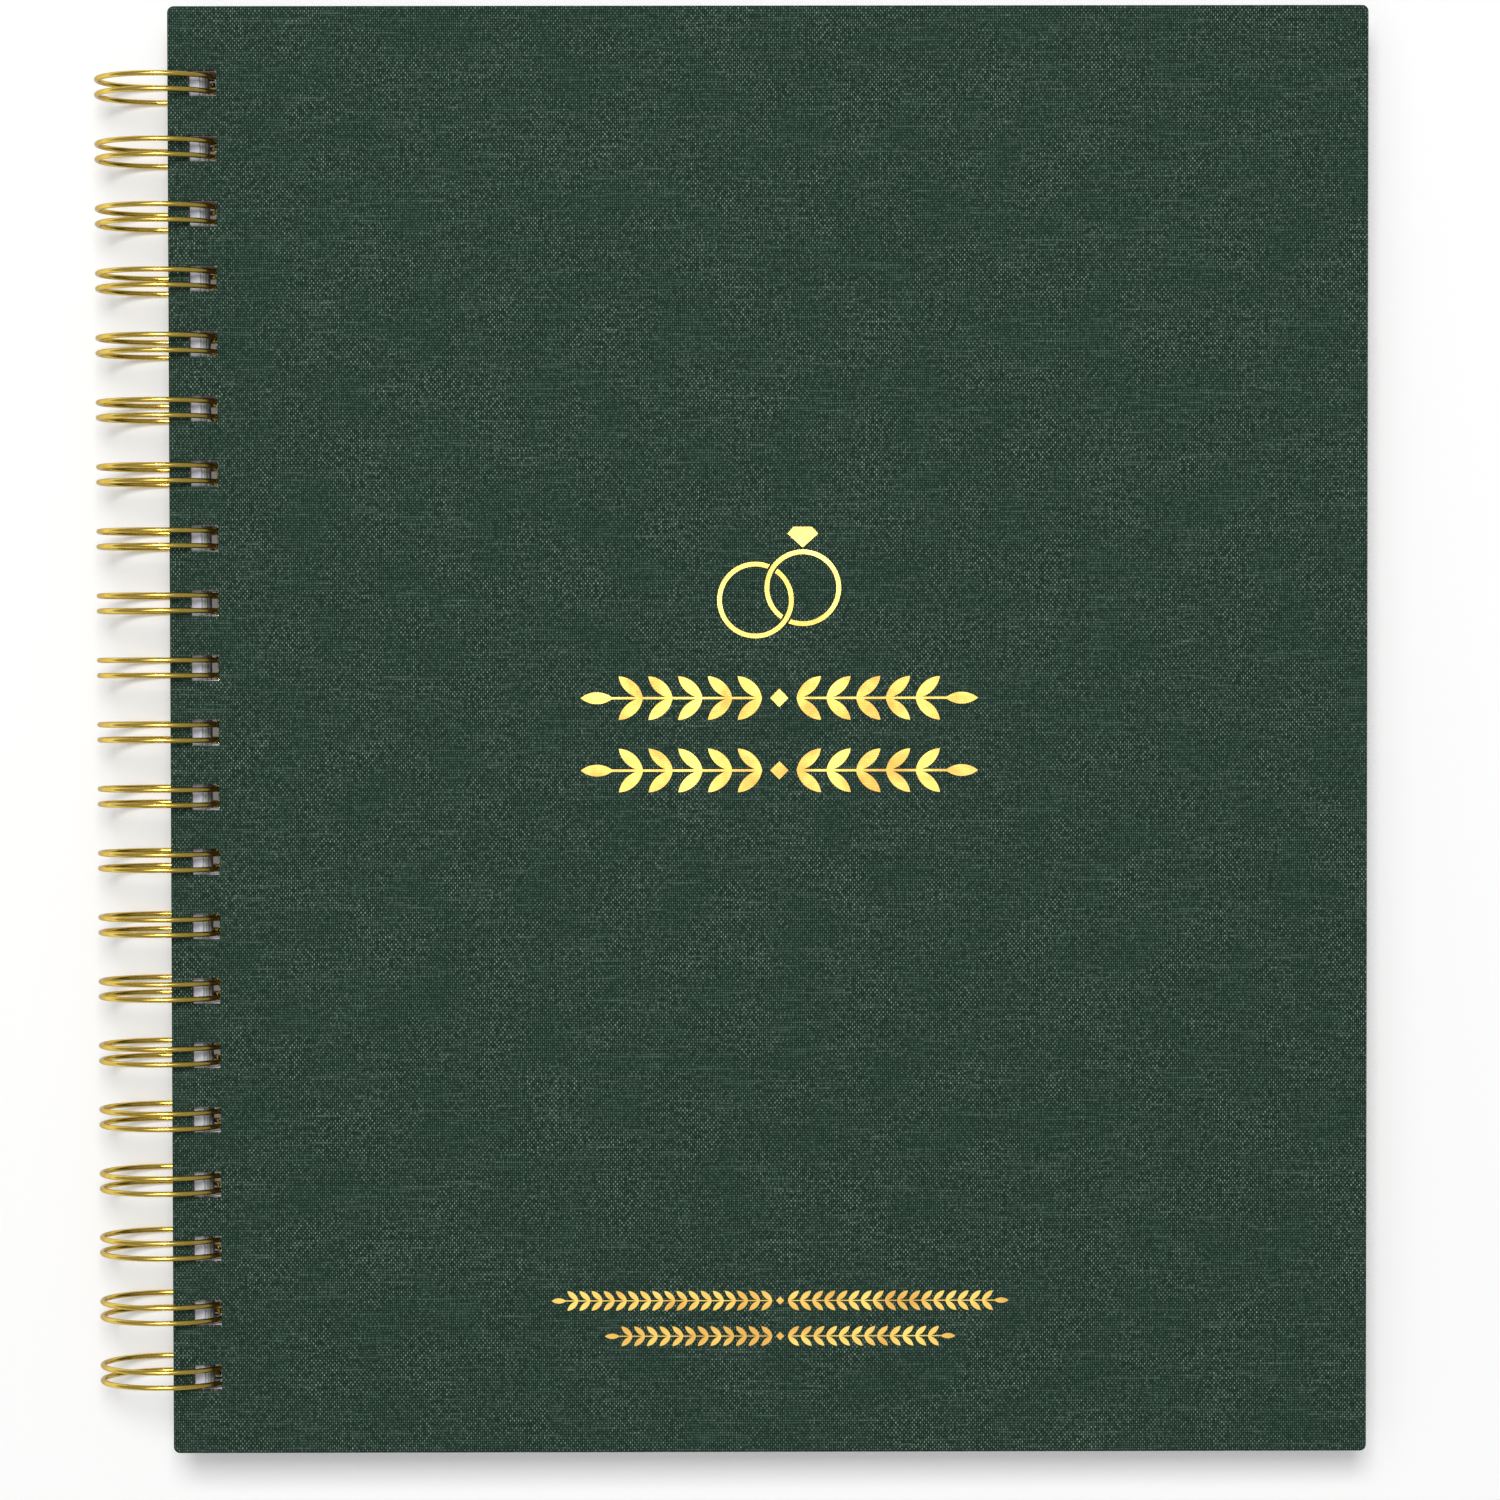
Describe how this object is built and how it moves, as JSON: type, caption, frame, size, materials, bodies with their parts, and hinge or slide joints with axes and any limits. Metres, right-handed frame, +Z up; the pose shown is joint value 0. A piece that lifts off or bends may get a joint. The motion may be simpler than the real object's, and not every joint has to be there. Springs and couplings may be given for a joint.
{
  "type": "wedding planner book",
  "caption": "Hard-cover wedding planner: cloth-covered boards, tabbed dividers and ruled sheets turning on a twin-loop wire, with a pocket inside the back cover.",
  "frame": {"origin": "middle of the bounding box at its base, level with the table", "axes": "+X from the wire to the fore edge, +Y along the spine to the head, +Z up out of the front cover"},
  "size_m": [0.2504, 0.284, 0.0261],
  "materials": {
    "book_cloth": "matte",
    "greyboard": "matte",
    "endpaper": "matte",
    "foil": "gloss",
    "sheets": "matte",
    "divider_card": "matte",
    "tab_film": "gloss",
    "pocket_card": "matte",
    "wire": "gloss"
  },
  "bodies": {
    "back_cover": {"back_board": "greyboard", "back_cloth": "book_cloth", "back_endpaper": "endpaper", "pocket_gusset": "pocket_card", "pocket_panel": "pocket_card"},
    "wire": {"wire_binding": "wire"},
    "opening_pages": {"pages_1": "sheets"},
    "section_1": {"divider_1": "divider_card", "tab_film_1": "tab_film", "pages_2": "sheets"},
    "section_2": {"divider_2": "divider_card", "tab_film_2": "tab_film", "pages_3": "sheets"},
    "section_3": {"divider_3": "divider_card", "tab_film_3": "tab_film", "pages_4": "sheets"},
    "section_4": {"divider_4": "divider_card", "tab_film_4": "tab_film", "pages_5": "sheets"},
    "section_5": {"divider_5": "divider_card", "tab_film_5": "tab_film", "pages_6": "sheets"},
    "section_6": {"divider_6": "divider_card", "tab_film_6": "tab_film", "pages_7": "sheets"},
    "front_cover": {"front_board": "greyboard", "front_cloth": "book_cloth", "front_endpaper": "endpaper", "foil_emblem": "foil", "foil_garlands": "foil", "foil_caption": "foil"}
  },
  "joints": [
    {"name": "wire_turn", "type": "hinge", "parent": "back_cover", "child": "wire", "pos_m": [-0.11214, 0, 0.01305], "axis": [0, -1, 0], "range_deg": [0, 180]},
    {"name": "section_6_turn", "type": "hinge", "parent": "wire", "child": "section_6", "pos_m": [-0.11214, 0, 0.01305], "axis": [0, -1, 0], "range_deg": [0, 180]},
    {"name": "section_5_turn", "type": "hinge", "parent": "section_6", "child": "section_5", "pos_m": [-0.11214, 0, 0.01305], "axis": [0, -1, 0], "range_deg": [0, 180]},
    {"name": "section_4_turn", "type": "hinge", "parent": "section_5", "child": "section_4", "pos_m": [-0.11214, 0, 0.01305], "axis": [0, -1, 0], "range_deg": [0, 180]},
    {"name": "section_3_turn", "type": "hinge", "parent": "section_4", "child": "section_3", "pos_m": [-0.11214, 0, 0.01305], "axis": [0, -1, 0], "range_deg": [0, 180]},
    {"name": "section_2_turn", "type": "hinge", "parent": "section_3", "child": "section_2", "pos_m": [-0.11214, 0, 0.01305], "axis": [0, -1, 0], "range_deg": [0, 180]},
    {"name": "section_1_turn", "type": "hinge", "parent": "section_2", "child": "section_1", "pos_m": [-0.11214, 0, 0.01305], "axis": [0, -1, 0], "range_deg": [0, 180]},
    {"name": "opening_pages_turn", "type": "hinge", "parent": "section_1", "child": "opening_pages", "pos_m": [-0.11214, 0, 0.01305], "axis": [0, -1, 0], "range_deg": [0, 180]},
    {"name": "front_cover_turn", "type": "hinge", "parent": "opening_pages", "child": "front_cover", "pos_m": [-0.11214, 0, 0.01305], "axis": [0, -1, 0], "range_deg": [0, 181.6]}
  ]
}
